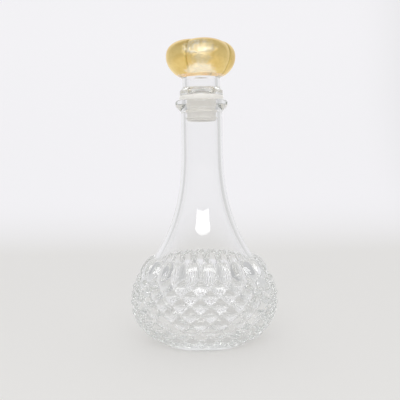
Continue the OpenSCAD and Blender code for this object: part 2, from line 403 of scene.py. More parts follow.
class Graph:
    """A material's nodes, with one method that adds any of them."""

    def __init__(self, name: str) -> None:
        """Starts an empty material of that name."""
        self.material = bpy.data.materials.new(name)
        self.material.use_nodes = True
        self.tree = self.material.node_tree
        self.tree.nodes.clear()

    def add(
        self,
        kind: str,
        settings: Optional[Mapping[str, object]] = None,
        feeds: Optional[Mapping[Union[str, int], Feed]] = None,
        output: Union[str, int] = 0,
    ) -> Value:
        """Adds a node.

        Args:
            kind: Type name of the node.
            settings: Its properties, which are set first. The key stops holds a ramp's
                places and colours.
            feeds: Its sockets by name or number, each with a value or a link.
            output: The output that is returned.

        Returns:
            That output, ready for arithmetic.
        """
        node = self.tree.nodes.new(kind)
        for key, value in (settings or {}).items():
            if key == "stops":
                self._set_stops(node.color_ramp, value)
            else:
                setattr(node, key, value)
        for key, value in (feeds or {}).items():
            socket = node.inputs[key]
            if isinstance(value, Value):
                self.tree.links.new(value.socket, socket)
            else:
                socket.default_value = value
        return Value(self, node.outputs[output]) if len(node.outputs) else Value(self, node.inputs[0])

    @staticmethod
    def _set_stops(ramp: bpy.types.ColorRamp, stops: Sequence[tuple[float, Colour]]) -> None:
        """Gives a colour ramp its places and colours."""
        while len(ramp.elements) < len(stops):
            ramp.elements.new(1.0)
        for element, (place, colour) in zip(ramp.elements, stops):
            element.position = place
            element.color = colour

    def maths(self, operation: str, a: Feed, b: Feed, clamp: bool = False) -> Value:
        """Adds a Math node on two values."""
        settings = {"operation": operation, "use_clamp": clamp}
        return self.add("ShaderNodeMath", settings, {0: a, 1: b})

    def place(self) -> Value:
        """Object coordinates, which are metres in the frame."""
        return self.add("ShaderNodeTexCoord", output="Object")

    def axes(self) -> tuple[Value, Value, Value]:
        """The x, y and z of the object coordinates."""
        settings: dict[str, object] = {}
        first = self.add("ShaderNodeSeparateXYZ", settings, {0: self.place()})
        outputs = first.socket.node.outputs
        return first, Value(self, outputs[1]), Value(self, outputs[2])

    def noise(self, scale: float, detail: float = 3.0, rough: float = 0.5, warp: float = 0.0) -> Value:
        """Noise from 0 to 1 in the frame, with its scale per metre."""
        feeds = {
            "Vector": self.place(),
            "Scale": scale,
            "Detail": detail,
            "Roughness": rough,
            "Distortion": warp,
        }
        return self.add("ShaderNodeTexNoise", {"noise_dimensions": "3D"}, feeds)

    def distance(self, centre: Sequence[float], size: Sequence[float]) -> Value:
        """Distance from a place in the frame, in units of a size that each axis has."""
        aside = self.add("ShaderNodeVectorMath", {"operation": "SUBTRACT"}, {0: self.place(), 1: centre})
        scaled = self.add("ShaderNodeVectorMath", {"operation": "DIVIDE"}, {0: aside, 1: size})
        return self.add("ShaderNodeVectorMath", {"operation": "LENGTH"}, {0: scaled}, output=1)

    def blend(self, share: Feed, a: Feed, b: Feed) -> Value:
        """Colour between a and b."""
        settings = {"data_type": "RGBA"}
        return self.add("ShaderNodeMix", settings, {0: share, 6: a, 7: b}, output=2)

    def bump(self, height: Value, strength: float, depth: float) -> Value:
        """Normal that shows a height from 0 to 1, with its depth in metres."""
        feeds = {"Strength": strength, "Distance": depth, "Height": height}
        return self.add("ShaderNodeBump", None, feeds)

    def surface(self, shader: Value, inside: Optional[Value] = None) -> None:
        """Makes a shader the material's surface, and another what fills it."""
        feeds = {"Surface": shader}
        if inside is not None:
            feeds["Volume"] = inside
        self.add("ShaderNodeOutputMaterial", None, feeds)


# Finishes


@dataclass(frozen=True)
class ClearGlass:
    """Clear pressed soda-lime glass with a fire-polished skin."""

    name: str = "clear_pressed_glass"
    tint: Colour = (1.0, 1.0, 1.0, 1.0)
    depth_tint: Colour = (0.5, 0.58, 0.5, 1.0)
    density: float = 2.2
    ior: float = 1.5
    ripple_scale: float = 75.0
    ripple_depth: float = 0.06 * MM
    ripple_strength: float = 0.35

    def material(self) -> bpy.types.Material:
        """Builds the glass.

        Returns:
            The material, with slow ripples from the mould in its normal.
        """
        graph = Graph(self.name)
        ripples = graph.noise(self.ripple_scale, detail=2.0, rough=0.45)
        shader = graph.add(
            "ShaderNodeBsdfPrincipled",
            None,
            {
                "Base Color": self.tint,
                "Roughness": 0.0,
                "IOR": self.ior,
                "Transmission Weight": 1.0,
                "Normal": graph.bump(ripples, self.ripple_strength, self.ripple_depth),
            },
        )
        depth = {"Color": self.depth_tint, "Density": self.density}
        graph.surface(shader, graph.add("ShaderNodeVolumeAbsorption", None, depth))
        return graph.material


@dataclass(frozen=True)
class GoldFilm:
    """Thin champagne gold on the stopper's head, mottled and worn thin at the front, with painted shade along
    its creases, a painted highlight on the front and a painted glow.
    """

    name: str = "worn_gold_film"
    light: Colour = (0.93, 0.72, 0.30, 1.0)
    deep: Colour = (0.80, 0.57, 0.19, 1.0)
    grey: Colour = (0.70, 0.60, 0.38, 1.0)
    silver: Colour = (0.90, 0.86, 0.72, 1.0)
    painted_crease_shade: Colour = (0.50, 0.38, 0.10, 1.0)
    crease_turn: float = 63.0
    crease_near: float = 0.3 * MM
    crease_far: float = 1.3 * MM
    rough_painted_highlight_place: tuple[float, float, float] = (-1.0 * MM, -24 * MM, 244 * MM)
    rough_painted_highlight_size: tuple[float, float, float] = (15 * MM, 18 * MM, 7 * MM)
    grey_place: tuple[float, float, float] = (0.5 * MM, -27 * MM, 236 * MM)
    grey_size: tuple[float, float, float] = (10 * MM, 18 * MM, 6 * MM)
    worn_and_glow_place: tuple[float, float, float] = (-0.5 * MM, -22 * MM, 225 * MM)
    worn_and_glow_size: tuple[float, float, float] = (14.5 * MM, 20 * MM, 9.5 * MM)
    painted_glow_gold: Colour = (0.09, 0.06, 0.02, 1.0)
    painted_glow_inner: Colour = (0.25, 0.25, 0.22, 1.0)
    painted_glow_worn: Colour = (0.30, 0.285, 0.24, 1.0)
    middle: tuple[float, float, float] = (0.0, 0.0, 240.5 * MM)

    def material(self) -> bpy.types.Material:
        """Builds the gold.

        Returns:
            The material, whose alpha thins the film where it has worn, and whose emission is a painted glow.
        """
        graph = Graph(self.name)
        clouds = graph.noise(60.0, detail=4.0, rough=0.6)
        ragged = graph.noise(200.0, detail=5.0, rough=0.7, warp=0.8)
        grain = graph.noise(450.0, detail=3.0, rough=0.7)
        uneven = 0.9 * (ragged - 0.5)

        def patch(place: Sequence[float], size: Sequence[float], soft: float) -> Value:
            return 1 - (graph.distance(place, size) + uneven).step(1 - soft, 1.05)

        across, back, _ = graph.axes()
        turn = math.radians(self.crease_turn)
        one = graph.maths("ABSOLUTE", across * math.sin(turn) - back * math.cos(turn), 0.0)
        other = graph.maths("ABSOLUTE", across * math.cos(turn) + back * math.sin(turn), 0.0)
        # Painted shade: the gold is painted darker along each crease.
        painted_crease_shade = 1 - graph.maths("MINIMUM", one, other).step(self.crease_near, self.crease_far)
        away = graph.add("ShaderNodeVectorMath", {"operation": "SUBTRACT"}, {0: graph.place(), 1: self.middle})
        facing = graph.add("ShaderNodeTexCoord", output="Normal")
        outside = graph.add("ShaderNodeVectorMath", {"operation": "DOT_PRODUCT"}, {0: facing, 1: away}, output=1)
        inner = 1 - outside.step(-2 * MM, 2 * MM)
        # Painted highlight: the roughened front is painted paler, towards silver, where the softbox highlight
        # falls; the bump there is real roughness.
        rough_painted_highlight = patch(self.rough_painted_highlight_place, self.rough_painted_highlight_size, 0.4)
        grey = patch(self.grey_place, self.grey_size, 0.6)
        worn_and_painted_glow = patch(self.worn_and_glow_place, self.worn_and_glow_size, 0.5)
        flecks = grain.step(0.42, 0.58)
        plain = graph.blend(clouds.step(0.35, 0.65), self.light, self.deep)
        gold = graph.blend(0.6 * painted_crease_shade, plain, self.painted_crease_shade)
        pale = graph.blend(rough_painted_highlight * (0.35 + 0.6 * flecks), gold, self.silver)
        dulled = graph.blend(grey * (1.0 - 0.3 * flecks), pale, self.grey)
        colour = graph.blend(worn_and_painted_glow * (0.7 + 0.3 * flecks), dulled, self.silver)
        relief = 0.3 * clouds + graph.maths("MAXIMUM", rough_painted_highlight, grey) * (1.0 * ragged + 2.2 * grain)
        # Painted glow: the film glows faintly all over, and more where it is worn and on its inner faces.
        glow = graph.blend(worn_and_painted_glow, self.painted_glow_gold, self.painted_glow_worn)
        shader = graph.add(
            "ShaderNodeBsdfPrincipled",
            None,
            {
                "Base Color": colour,
                "Metallic": 1.0,
                "Roughness": 0.2 + 0.1 * grain,
                "Alpha": 1 - worn_and_painted_glow * (0.25 + 0.35 * flecks),
                "Emission Color": graph.blend(inner, glow, self.painted_glow_inner),
                "Emission Strength": 1.0,
                "Normal": graph.bump(relief, 1.0, 0.45 * MM),
            },
        )
        graph.surface(shader)
        return graph.material


@dataclass(frozen=True)
class SealPlastic:
    """Milky soft polyethylene that scatters light under its skin, with a painted glow that stands in for light
    coming through it.
    """

    name: str = "milky_seal_plastic"
    colour: Colour = (0.62, 0.605, 0.575, 1.0)
    depth: float = 1.5 * MM
    painted_glow_strength: float = 0.5

    def material(self) -> bpy.types.Material:
        """Builds the plastic.

        Returns:
            The material, slightly uneven as soft moulded plastic is.
        """
        graph = Graph(self.name)
        uneven = graph.noise(300.0, detail=3.0)
        shader = graph.add(
            "ShaderNodeBsdfPrincipled",
            None,
            {
                "Base Color": self.colour,
                "Roughness": 0.32 + 0.16 * uneven,
                "IOR": 1.5,
                "Subsurface Weight": 1.0,
                "Subsurface Radius": (1.0, 1.0, 1.0),
                "Subsurface Scale": self.depth,
                # Painted glow: the plastic glows in its own colour, as if lit through.
                "Emission Color": self.colour,
                "Emission Strength": self.painted_glow_strength,
                "Normal": graph.bump(uneven, 0.2, 0.1 * MM),
            },
        )
        graph.surface(shader)
        return graph.material


@dataclass(frozen=True)
class PaleBackdrop:
    """Plain matt paper under and behind the decanter, glowing as if lit through from beneath, with painted light
    paler up the wall and painted shade to both sides.
    """

    name: str = "pale_backdrop"
    shade: Colour = (0.36, 0.36, 0.36, 1.0)
    floor_glow: Colour = (0.492, 0.483, 0.467, 1.0)
    wall_painted_light: Colour = (0.635, 0.628, 0.65, 1.0)
    side_painted_shade: Colour = (0.44, 0.44, 0.44, 1.0)
    wall_from: float = 0.53
    wall_to: float = 0.82
    middle: float = -0.1
    side_from: float = 0.45
    side_to: float = 0.8

    def material(self) -> bpy.types.Material:
        """Builds the paper.

        Returns:
            The material, whose painted light pales it up the sweep and whose painted shade dulls it to both
            sides.
        """
        graph = Graph(self.name)
        across, back, _ = graph.axes()
        # Painted light: the paper is painted paler from the floor up the sweep to the wall.
        rise = back.step(self.wall_from, self.wall_to)
        # Painted shade: the paper is painted darker towards both sides, sooner on the right.
        aside = graph.maths("ABSOLUTE", across - self.middle, 0.0).step(self.side_from, self.side_to)
        glow = graph.blend(rise, self.floor_glow, self.wall_painted_light)
        shader = graph.add(
            "ShaderNodeBsdfPrincipled",
            None,
            {
                "Base Color": self.shade,
                "Roughness": 0.9,
                "Specular IOR Level": 0.2,
                "Emission Color": graph.blend(aside, glow, self.side_painted_shade),
                "Emission Strength": 1.0,
            },
        )
        graph.surface(shader)
        return graph.material


# The bottle


@dataclass(frozen=True)
class Courses:
    """The bulb's outline by the rows of its pattern, counted from the foot in fractions."""

    rows: Sequence[float]
    line: Line

    def row_at(self, height: float) -> float:
        """Row at a height."""
        return lookup(height, [z for _, z in self.line], self.rows)

    def place(self, row: float) -> tuple[Point, Point]:
        """Radius and height at a row, and the outline's outward direction there."""
        k = min(max(bisect_right(self.rows, row), 1), len(self.rows) - 1)
        share = (row - self.rows[k - 1]) / (self.rows[k] - self.rows[k - 1])
        here, there = self.line[k - 1], self.line[k]
        out, next_out = outward(self.line, k - 1), outward(self.line, k)
        return (
            (mix(here[0], there[0], share), mix(here[1], there[1], share)),
            (mix(out[0], next_out[0], share), mix(out[1], next_out[1], share)),
        )


@dataclass
class Bulb:
    """The bulb's outline, its moulded diamonds and its petals. Lengths are in metres."""

    widest_d: float = 126 * MM
    widest_z: float = 34 * MM
    shoulder_d: float = 84.4 * MM
    shoulder_z: float = 72 * MM
    shoulder_lean: float = 33.0
    foot_top_d: float = 84 * MM
    foot_h: float = 5 * MM
    columns: int = 24
    rows: int = 9
    diamond_top_z: float = 52.7 * MM
    petal_z: float = 60.5 * MM
    petal_steps: int = 4
    petal_power: float = 2.2
    petal_arch: float = 4.0
    petal_relief: float = 6.2 * MM
    relief: float = 3.6 * MM
    relief_row: float = 6.0
    petal_relief_row: float = 12.5
    groove_depth: float = 1.0 * MM
    crown_power: float = 2.5
    ridge_power: float = 1.5
    turn: float = -93.0
    facet_cuts: int = 6
    polish: float = 0.5
    rise_share: float = 0.39
    lean_share: float = 0.47

    @property
    def edge_r(self) -> float:
        """Radius of the glass between the diamonds at the widest level."""
        return self.widest_d / 2 - self.relief

    @property
    def azimuth(self) -> float:
        """Turn of the first column, in radians."""
        return math.radians(self.turn)

    @property
    def grid_columns(self) -> int:
        """Columns of the pattern's grid, two to a diamond."""
        return 2 * self.columns

    @property
    def fine_columns(self) -> int:
        """Columns of the finished mesh."""
        return self.grid_columns * (self.facet_cuts + 1)

    @property
    def petal_row(self) -> int:
        """Row of the grid in which the petals are widest."""
        return self.rows + 1

    @property
    def last_row(self) -> int:
        """Row of the grid that is the pattern's upper border."""
        return self.petal_row + self.petal_steps

    def lean(self) -> Point:
        """Direction of the shoulder's slope, downwards."""
        angle = math.radians(self.shoulder_lean)
        return (math.sin(angle), -math.cos(angle))

    def line(self, steps: int) -> Line:
        """Outline of the glass between the diamonds.

        Args:
            steps: Stretches below the widest level, and as many above it.

        Returns:
            The points from the foot up to the shoulder.
        """
        foot_r = self.foot_top_d / 2
        shoulder = (self.shoulder_d / 2, self.shoulder_z)
        widest = (self.edge_r, self.widest_z)
        angle = math.acos(foot_r / self.edge_r)
        height = (self.widest_z - self.foot_h) / math.sin(angle)
        belly = []
        for k in range(steps):
            x, y = turned(1.0, angle * (k / steps - 1))
            belly.append((self.edge_r * x, self.widest_z + height * y))
        rise = self.shoulder_z - self.widest_z
        pull = self.lean_share * rise
        lean = self.lean()
        upper = bezier(
            widest,
            (widest[0], widest[1] + self.rise_share * rise),
            (shoulder[0] + pull * lean[0], shoulder[1] + pull * lean[1]),
            shoulder,
            steps,
        )
        return belly + upper

    def courses(self) -> Courses:
        """Shares the outline out between the rows of the pattern.

        Diamonds are spaced by length over radius, so that they keep their proportions as
        the bulb narrows.

        Returns:
            The outline with the row at each of its points.
        """
        line = self.line(steps=80)
        spread = [0.0]
        for a, b in zip(line, line[1:]):
            spread.append(spread[-1] + 2 * math.hypot(b[0] - a[0], b[1] - a[1]) / (a[0] + b[0]))
        heights = [z for _, z in line]
        keys = [
            0.0,
            lookup(self.diamond_top_z, heights, spread),
            lookup(self.petal_z, heights, spread),
            spread[-1],
        ]
        counts = [0, self.rows, self.petal_row, self.last_row]
        return Courses([lookup(place, keys, counts) for place in spread], line)

    def build(self) -> bpy.types.Object:
        """Models the moulded skin of the bulb.

        Returns:
            The skin, open at the foot and at the shoulder.
        """
        Bench.clear()
        courses = self.courses()
        levels = [courses.place(row)[0] for row in range(self.last_row + 1)]
        radius, height = levels[0]
        bpy.ops.mesh.primitive_circle_add(
            vertices=self.grid_columns, radius=radius, fill_type="NOTHING", location=(0, 0, height)
        )
        skin = bpy.context.active_object
        first = skin.data.vertices[0].co
        skin.rotation_euler.z = self.azimuth - math.atan2(first.y, first.x)
        bpy.ops.object.transform_apply(location=True, rotation=True, scale=True)
        Bench.open(skin)
        for below, above in zip(levels, levels[1:]):
            scale = above[0] / below[0]
            bpy.ops.mesh.extrude_region_move(
                TRANSFORM_OT_translate={"value": (0, 0, above[1] - below[1])}
            )
            bpy.ops.transform.resize(value=(scale, scale, 1), center_override=(0, 0, above[1]))
        self._split_cells([height for _, height in levels])
        bpy.ops.mesh.select_all(action="SELECT")
        bpy.ops.mesh.subdivide(number_cuts=self.facet_cuts)
        Bench.clear()
        for vertex in skin.data.vertices:
            vertex.co = self._moulded(vertex.co, courses)
        skin.data.update()
        Bench.open(skin)
        low, high = levels[0][1], levels[-1][1]
        Bench.pick(lambda place: low + WELD < place.z < high - WELD)
        bpy.ops.mesh.vertices_smooth(factor=self.polish, repeat=1)
        Bench.clear()
        return skin

    def _column(self, place: Vector) -> float:
        """Number of the grid's column at a place, with its fraction."""
        angle = (math.atan2(place.y, place.x) - self.azimuth) % FULL_TURN
        return angle / FULL_TURN * self.grid_columns

    def _stands_out(self, column: int, row: int) -> bool:
        """Whether a diamond's point or a petal stands at a corner of the grid."""
        return (column + min(row, self.petal_row) + self.rows) % 2 == 0

    def _split_cells(self, heights: Sequence[float]) -> None:
        """Draws the edges between the diamonds, and those from each petal to its grooves."""

        def corner(place: Vector) -> tuple[int, bool]:
            row = min(range(len(heights)), key=lambda k: abs(place.z - heights[k]))
            return row, self._stands_out(round(self._column(place)), row)

        def is_valley(place: Vector) -> bool:
            row, stands_out = corner(place)
            return row <= self.petal_row and not stands_out

        Bench.pick(is_valley)
        bpy.ops.mesh.vert_connect()
        for low in range(self.petal_row, self.last_row):
            Bench.pick(lambda place: corner(place) in ((low, True), (low + 1, False)))
            bpy.ops.mesh.vert_connect()

    def _pattern(self, column: float, row: float) -> float:
        """Height of the moulded pattern over its grooves, as a share of the whole."""
        low = min(math.floor(row), self.petal_row)
        left = math.floor(column)
        across, up = column - left, row - low
        if low == self.petal_row:
            beside = across if self._stands_out(left, low) else 1 - across
            share = up / self.petal_steps
            top = max(1 - beside**self.petal_arch, WELD) ** (1 / self.petal_power)
            crown = rounded(min(share / top, 1.0), self.petal_power, self.petal_power)
            return crown * self._pillow(beside, 0.0)
        if not self._stands_out(left, low):
            across = 1 - across
        if across + up > 1:
            return self._pillow(1 - across, 1 - up)
        return self._pillow(across, up) if low else 0.0

    def _pillow(self, across: float, up: float) -> float:
        """Height of one diamond at a place counted from its middle, with a blunt level ridge."""
        return max(1 - up**self.ridge_power - across**self.crown_power, 0.0)

    def _moulded(self, place: Vector, courses: Courses) -> Vector:
        """Where a point of the plain skin lies once the pattern is pressed."""
        steps = self.facet_cuts + 1
        column = round(self._column(place) * steps) / steps
        row = round(courses.row_at(place.z) * steps) / steps
        (radius, height), out = courses.place(row)
        fade = min(row, 1.0, max(self.last_row - row, 0.0) / self.petal_steps)
        growth = (row - self.relief_row) / (self.petal_relief_row - self.relief_row)
        more = (self.petal_relief - self.relief) * min(max(growth, 0.0), 1.0)
        whole = self.relief * radius / self.edge_r + more
        push = (whole + self.groove_depth) * self._pattern(column, row) - self.groove_depth
        push = push if fade == 1.0 else max(push, -self.groove_depth * fade)
        x, y = turned(radius + push * out[0], self.azimuth + column / self.grid_columns * FULL_TURN)
        return Vector((x, y, height + push * out[1]))


@dataclass
class Bottle:
    """The glass body: bulb, foot, shoulder, neck and lip. Lengths are in metres."""

    finish: ClearGlass
    bulb: Bulb = field(default_factory=Bulb)
    foot_d: float = 74 * MM
    foot_ring_w: float = 5 * MM
    foot_round: float = 1.2 * MM
    punt_h: float = 3 * MM
    neck_d: float = 35 * MM
    neck_foot_z: float = 165 * MM
    neck_top_z: float = 194.5 * MM
    lip_d: float = 44.2 * MM
    lip_taper_h: float = 3.4 * MM
    lip_fillet: float = 3.0 * MM
    lip_h: float = 6 * MM
    lip_round: float = 2 * MM
    bore_d: float = 27.6 * MM
    mouth_round: float = 0.8 * MM
    shoulder_wall: float = 4.2 * MM
    bulb_wall: float = 6 * MM
    floor_t: float = 7 * MM
    neck_share: float = 0.475
    lean_share: float = 0.305
    floor_share: float = 0.17
    floor_flat_share: float = 0.4

    @property
    def mouth_z(self) -> float:
        """Height of the lip's top."""
        return self.neck_top_z + self.lip_taper_h + self.lip_h

    def flare(self, steps: int) -> Line:
        """Outline from the pattern's upper border to the straight neck."""
        shoulder = (self.bulb.shoulder_d / 2, self.bulb.shoulder_z)
        height = self.neck_foot_z - self.bulb.shoulder_z
        pull = self.lean_share * height
        lean = self.bulb.lean()
        neck_r = self.neck_d / 2
        return bezier(
            shoulder,
            (shoulder[0] - pull * lean[0], shoulder[1] - pull * lean[1]),
            (neck_r, self.neck_foot_z - self.neck_share * height),
            (neck_r, self.neck_foot_z),
            steps,
        )

    def wall_at(self, height: float) -> float:
        """Thickness of the glass at a height."""
        neck_wall = (self.neck_d - self.bore_d) / 2
        if height <= self.bulb.widest_z:
            return self.bulb_wall
        if height <= self.bulb.shoulder_z:
            share = (height - self.bulb.widest_z) / (self.bulb.shoulder_z - self.bulb.widest_z)
            return mix(self.bulb_wall, self.shoulder_wall, share)
        share = (height - self.bulb.shoulder_z) / (self.neck_foot_z - self.bulb.shoulder_z)
        return mix(self.shoulder_wall, neck_wall, min(share, 1.0))

    def foot_line(self) -> Line:
        """Outline of the hollow under the foot, the ring and the flank up to the pattern."""
        ring_r = self.foot_d / 2 - self.foot_ring_w
        steps = 8
        hollow = [(ring_r * k / steps, self.punt_h * (1 - (k / steps) ** 2)) for k in range(steps)]
        ring = filleted(
            [
                (*hollow[-1], 0.0),
                (ring_r, 0.0, self.foot_round),
                (self.foot_d / 2, 0.0, self.foot_round),
                (self.bulb.foot_top_d / 2, self.bulb.foot_h, 0.0),
            ]
        )
        return hollow[:-1] + ring

    def lip_line(self) -> Line:
        """Outline from the neck round the lip and into the mouth."""
        lip_r = self.lip_d / 2
        taper_z = self.neck_top_z + self.lip_taper_h
        return filleted(
            [
                (self.neck_d / 2, self.neck_foot_z, 0.0),
                (self.neck_d / 2, self.neck_top_z, self.lip_fillet),
                (lip_r - 0.7 * self.lip_round, taper_z, self.lip_round),
                (lip_r, taper_z + self.lip_round, self.lip_round),
                (lip_r, self.mouth_z, self.lip_round),
                (self.bore_d / 2, self.mouth_z, self.mouth_round),
                (self.bore_d / 2, self.neck_foot_z, 0.0),
            ],
            steps=6,
        )

    def cavity_line(self) -> Line:
        """Outline of the inside, from the neck down to the middle of the floor."""
        outer = self.bulb.line(steps=14) + self.flare(steps=22)[1:]
        inner = []
        for k, (r, z) in enumerate(outer[:-1]):
            out_r, out_z = outward(outer, k)
            wall = self.wall_at(z)
            inner.append((r - wall * out_r, z - wall * out_z))
        out_r, out_z = outward(outer, 0)
        start = inner[0]
        pull = self.floor_share * self.bulb.foot_top_d / 2
        floor_z = self.punt_h + self.floor_t
        floor = bezier(
            (0.0, floor_z),
            (self.floor_flat_share * start[0], floor_z),
            (start[0] + pull * out_z, start[1] - pull * out_r),
            start,
            12,
        )
        return (floor + inner[1:])[::-1]

    def build(self) -> bpy.types.Object:
        """Models the whole glass body as one closed mesh.

        Returns:
            The dressed piece.
        """
        azimuth = self.bulb.azimuth
        columns = self.bulb.fine_columns
        upper = self.flare(steps=32) + self.lip_line()[1:] + self.cavity_line()
        parts = [
            Bench.revolve("foot", self.foot_line(), azimuth, columns),
            self.bulb.build(),
            Bench.revolve("neck", upper, azimuth, columns),
        ]
        glass = Bench.join("glass_body", parts)
        Bench.smooth(glass, 50.0)
        glass.data.materials.clear()
        glass.data.materials.append(self.finish.material())
        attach(glass, Body.BOTTLE.value)
        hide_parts(Node.BOTTLE.value)
        return glass


# The stopper


@dataclass
class Stopper:
    """The hollow glass stopper and the gold film on its head. Lengths are in metres."""

    finish: ClearGlass
    gilding: GoldFilm
    mouth_z: float
    flange_h: float = 4 * MM
    head_d: float = 58.8 * MM
    head_rise: float = 14.2 * MM
    head_drop: float = 17.5 * MM
    rise_power: float = 2.2
    rise_root: float = 3.4
    drop_power: float = 2.05
    lobes: int = 4
    crease_depth: float = 2.4 * MM
    crease_turn: float = 63.0
    top_crease_share: float = 0.5
    groove_depth: float = 0.7 * MM
    groove_w: float = 2.4 * MM
    stem_d: float = 32 * MM
    stem_l: float = 9.3 * MM
    disc_d: float = 36.4 * MM
    disc_h: float = 5.8 * MM
    disc_chamfer: float = 1.6 * MM
    tenon_d: float = 21.8 * MM
    tenon_l: float = 20.5 * MM
    wall: float = 3.8 * MM
    tenon_wall: float = 3.4 * MM
    edge_round: float = 0.5 * MM
    film_gap: float = 0.03 * MM
    film_t: float = 0.18 * MM
    film_edge_h: float = 1.6 * MM
    columns: int = 288
    head_steps: int = 22

    @property
    def flange_top_z(self) -> float:
        """Height at which the disc rests on the seal."""
        return self.mouth_z + self.flange_h

    @property
    def stem_z(self) -> float:
        """Height of the disc's top."""
        return self.flange_top_z + self.disc_h

    @property
    def stem_top_z(self) -> float:
        """Height at which the head starts."""
        return self.stem_z + self.stem_l

    @property
    def head_z(self) -> float:
        """Height of the head's widest level."""
        return self.stem_top_z + self.head_drop

    def head_line(self) -> Line:
        """Outline of the head from the stem up to its middle."""
        head_r = self.head_d / 2
        join = rounded(self.stem_d / 2 / head_r, self.drop_power, self.drop_power)
        drop = self.head_drop / join
        line = []
        for k in range(self.head_steps):
            share = join * math.cos(math.pi / 2 * k / self.head_steps)
            radius = head_r * rounded(share, self.drop_power, self.drop_power)
            line.append((radius, self.head_z - drop * share))
        for k in range(self.head_steps + 1):
            share = math.sin(math.pi / 2 * k / self.head_steps)
            radius = head_r * rounded(share, self.rise_power, self.rise_root)
            line.append((radius, self.head_z + self.head_rise * share))
        return line

    def shank_line(self) -> Line:
        """Outline of the tenon, the disc and the stem, upwards."""
        tenon_r = self.tenon_d / 2
        end_z = self.flange_top_z - self.tenon_l
        disc_r = self.disc_d / 2
        return filleted(
            [
                (tenon_r - self.tenon_wall, end_z + 2 * self.edge_round, 0.0),
                (tenon_r - self.tenon_wall, end_z, self.edge_round),
                (tenon_r, end_z, 2 * self.edge_round),
                (tenon_r, self.flange_top_z, self.edge_round),
                (disc_r, self.flange_top_z, self.edge_round),
                (disc_r, self.stem_z - self.disc_chamfer, self.edge_round),
                (disc_r - self.disc_chamfer, self.stem_z, self.edge_round),
                (self.stem_d / 2, self.stem_z, self.edge_round),
                (self.stem_d / 2, self.stem_top_z, 0.0),
            ]
        )

    def hollow_line(self) -> Line:
        """Outline of the hollow, from the middle of the head down to the tenon's end."""
        tenon_r = self.tenon_d / 2 - self.tenon_wall
        stem_r = self.stem_d / 2 - self.wall
        hollow_r = self.head_d / 2 - self.wall - self.crease_depth / 2
        rise = self.head_rise - self.wall
        drop = self.head_drop - self.wall
        slope_z = self.stem_z - self.disc_chamfer
        neck = bezier(
            (tenon_r, self.flange_top_z),
            (tenon_r, slope_z),
            (stem_r, slope_z),
            (stem_r, self.stem_z + self.disc_chamfer),
            12,
        )
        flare = bezier(
            (stem_r, self.stem_top_z - self.disc_chamfer),
            (stem_r, self.stem_top_z + self.wall),
            (hollow_r, self.head_z - drop / 2),
            (hollow_r, self.head_z),
            20,
        )
        dome = []
        for k in range(1, 19):
            x, y = turned(1.0, math.pi / 2 * k / 18)
            dome.append((hollow_r * x, self.head_z + rise * y))
        end_z = self.flange_top_z - self.tenon_l + 2 * self.edge_round
        return ([(tenon_r, end_z)] + neck + flare + dome)[::-1]

    def press_lobes(self, piece: bpy.types.Object) -> None:
        """Presses the creases between the lobes into a round head.

        Args:
            piece: The round head, alone.
        """
        mesh = piece.data
        for vertex in mesh.vertices:
            vertex.co = self._pressed(vertex.co)
        mesh.update()

    def _pressed(self, place: Vector) -> Vector:
        """Where a point of the round head lies once the creases are pressed in."""
        fade = (place.z - self.stem_top_z) / (0.45 * self.head_drop)
        depth = self.crease_depth / (self.head_d / 2) * min(max(fade, 0.0), 1.0)
        angle = math.atan2(place.y, place.x) - math.radians(self.crease_turn)
        lobe = self._lobed(angle, depth)
        above = max(place.z - self.head_z, 0.0)
        sink = above * self.top_crease_share * (1 - lobe)
        radius = math.hypot(place.x, place.y)
        if radius > WELD:
            lobe -= self._groove(angle, radius) * min(max(fade, 0.0), 1.0) / radius
        return Vector((place.x * lobe, place.y * lobe, place.z - sink))

    def _groove(self, angle: float, radius: float) -> float:
        """Depth of the narrow groove along each crease, at an angle from one of them."""
        half = math.pi / self.lobes
        aside = abs((angle + half) % (2 * half) - half) * radius
        near = max(1 - aside / self.groove_w, 0.0)
        return self.groove_depth * near * near

    def _lobed(self, angle: float, depth: float) -> float:
        """Radius of a ring of arcs that meet in creases, as a share of the full radius."""
        half = math.pi / self.lobes
        inner = 1 - depth
        shift = (1 - inner * inner) / (2 * (1 - inner * math.cos(half)))
        turn = angle % (2 * half) - half
        return shift * math.cos(turn) + math.sqrt((1 - shift) ** 2 - (shift * math.sin(turn)) ** 2)

    def build(self) -> bpy.types.Object:
        """Models the stopper's glass as one closed mesh.

        Returns:
            The dressed piece.
        """
        azimuth = math.radians(self.crease_turn)
        head = Bench.revolve("head", self.head_line(), azimuth, self.columns)
        self.press_lobes(head)
        parts = [
            head,
            Bench.revolve("shank", self.shank_line(), azimuth, self.columns),
            Bench.revolve("hollow", self.hollow_line(), azimuth, self.columns),
        ]
        glass = Bench.join("stopper_glass_body", parts)
        Bench.smooth(glass, 50.0)
        glass.data.materials.clear()
        glass.data.materials.append(self.finish.material())
        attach(glass, Body.STOPPER.value)
        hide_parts(Node.STOPPER_GLASS.value)
        return glass

    def build_film(self) -> bpy.types.Object:
        """Models the gold film as a thin closed shell round the head.

        Returns:
            The dressed piece.
        """
        edge_z = self.stem_top_z + self.film_edge_h
        line = [point for point in self.head_line() if point[1] > edge_z]
        film = Bench.revolve("gold_film", line, math.radians(self.crease_turn), self.columns)
        self.press_lobes(film)
        Bench.open(film)
        bpy.ops.mesh.normals_make_consistent(inside=False)
        bpy.ops.transform.shrink_fatten(value=self.film_gap)
        Bench.clear()
        film.select_set(True)
        bpy.context.view_layer.objects.active = film
        shell = film.modifiers.new("shell", "SOLIDIFY")
        shell.thickness = self.film_t
        shell.offset = 1.0
        bpy.ops.object.modifier_apply(modifier=shell.name)
        Bench.smooth(film, 50.0)
        film.data.materials.clear()
        film.data.materials.append(self.gilding.material())
        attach(film, Body.STOPPER.value)
        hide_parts(Node.GOLD_COATING.value)
        return film


